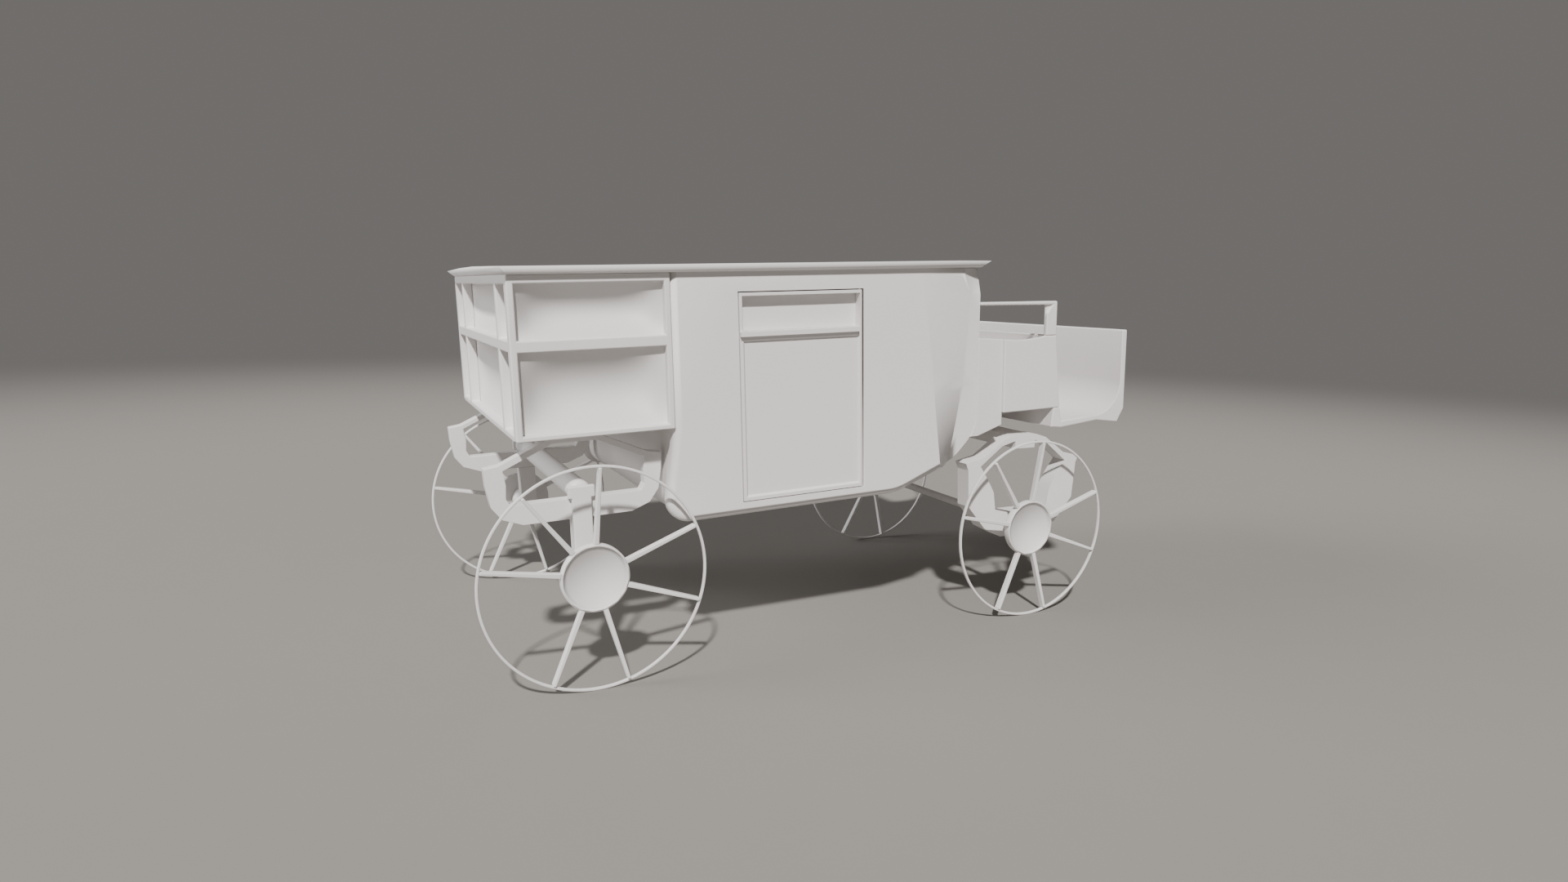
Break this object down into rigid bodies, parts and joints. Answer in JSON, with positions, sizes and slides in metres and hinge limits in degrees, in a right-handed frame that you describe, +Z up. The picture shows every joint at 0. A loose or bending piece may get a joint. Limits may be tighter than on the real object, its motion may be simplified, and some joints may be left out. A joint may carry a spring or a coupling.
{
  "type": "horse drawn carriage",
  "caption": "Closed horse drawn carriage with a panelled boot, hinged side doors, an open driver's seat with a dash, ring springs, a steering fore-carriage and spoked wheels.",
  "frame": {"origin": "on the ground under the middle of the carriage", "axes": "+X forward to the driver's dash, +Y to the left side, +Z up"},
  "size_m": [3.6833, 1.8296, 1.9885],
  "materials": {
    "coachwork": "matt off-white paint over wood",
    "door_blinds": "plain off-white wooden blind",
    "painted_iron": "matt off-white paint over forged iron",
    "wheel_rims": "matt off-white paint",
    "wheel_wood": "matt off-white paint over wood"
  },
  "bodies": {
    "carriage_body": {"boot_floor": "coachwork", "boot_rear_frame": "coachwork", "boot_rear_sheet": "coachwork", "boot_side_frame_left": "coachwork", "boot_side_frame_right": "coachwork", "boot_side_panels_left": "coachwork", "boot_side_panels_right": "coachwork", "cabin_back_wall": "coachwork", "cabin_front_wall": "coachwork", "cabin_side_left": "coachwork", "cabin_side_right": "coachwork", "cabin_tub": "coachwork", "dash_and_footboard": "coachwork", "neck_side_left": "coachwork", "neck_side_right": "coachwork", "roof": "coachwork", "seat_bench": "coachwork", "seat_bottom": "coachwork", "seat_front_board": "coachwork", "seat_side_left": "coachwork", "seat_side_right": "coachwork", "arm_rail_left": "painted_iron", "arm_rail_right": "painted_iron", "rear_axle_beam": "painted_iron", "rear_hanger_left": "painted_iron", "rear_hanger_right": "painted_iron", "rear_spring_left": "painted_iron", "rear_spring_right": "painted_iron", "turntable_upper": "painted_iron"},
    "door_right": {"door_right": "coachwork", "door_blind_right": "door_blinds"},
    "door_left": {"door_left": "coachwork", "door_blind_left": "door_blinds"},
    "fore_carriage": {"turntable_lower": "painted_iron", "front_axle": "painted_iron", "front_bolster": "painted_iron", "front_spring_left": "painted_iron", "front_spring_right": "painted_iron", "pole_jaws": "painted_iron"},
    "rear_wheel_right": {"rear_wheel_rim_right": "wheel_rims", "rear_wheel_spokes_right": "wheel_wood", "rear_wheel_hub_right": "wheel_wood"},
    "rear_wheel_left": {"rear_wheel_rim_left": "wheel_rims", "rear_wheel_spokes_left": "wheel_wood", "rear_wheel_hub_left": "wheel_wood"},
    "front_wheel_right": {"front_wheel_rim_right": "wheel_rims", "front_wheel_spokes_right": "wheel_wood", "front_wheel_hub_right": "wheel_wood"},
    "front_wheel_left": {"front_wheel_rim_left": "wheel_rims", "front_wheel_spokes_left": "wheel_wood", "front_wheel_hub_left": "wheel_wood"}
  },
  "joints": [
    {"name": "steering", "type": "hinge", "parent": "carriage_body", "child": "fore_carriage", "pos_m": [1.17427, 0, 1.026], "axis": [0, 0, 1], "range_deg": [-14, 14]},
    {"name": "rear_wheel_right_turn", "type": "hinge", "parent": "carriage_body", "child": "rear_wheel_right", "pos_m": [-1.32474, -0.8975, 0.517], "axis": [0, 1, 0], "continuous": true},
    {"name": "rear_wheel_left_turn", "type": "hinge", "parent": "carriage_body", "child": "rear_wheel_left", "pos_m": [-1.32474, 0.8975, 0.517], "axis": [0, 1, 0], "continuous": true},
    {"name": "front_wheel_right_turn", "type": "hinge", "parent": "fore_carriage", "child": "front_wheel_right", "pos_m": [1.17427, -0.8745, 0.504], "axis": [0, 1, 0], "continuous": true},
    {"name": "front_wheel_left_turn", "type": "hinge", "parent": "fore_carriage", "child": "front_wheel_left", "pos_m": [1.17427, 0.8745, 0.504], "axis": [0, 1, 0], "continuous": true},
    {"name": "door_right_swing", "type": "hinge", "parent": "carriage_body", "child": "door_right", "pos_m": [0.03659, -0.828, 1.32043], "axis": [-0.0442, 0, 0.999], "range_deg": [0, 85]},
    {"name": "door_left_swing", "type": "hinge", "parent": "carriage_body", "child": "door_left", "pos_m": [0.03659, 0.828, 1.32043], "axis": [-0.0442, 0, 0.999], "range_deg": [-85, 0]}
  ]
}
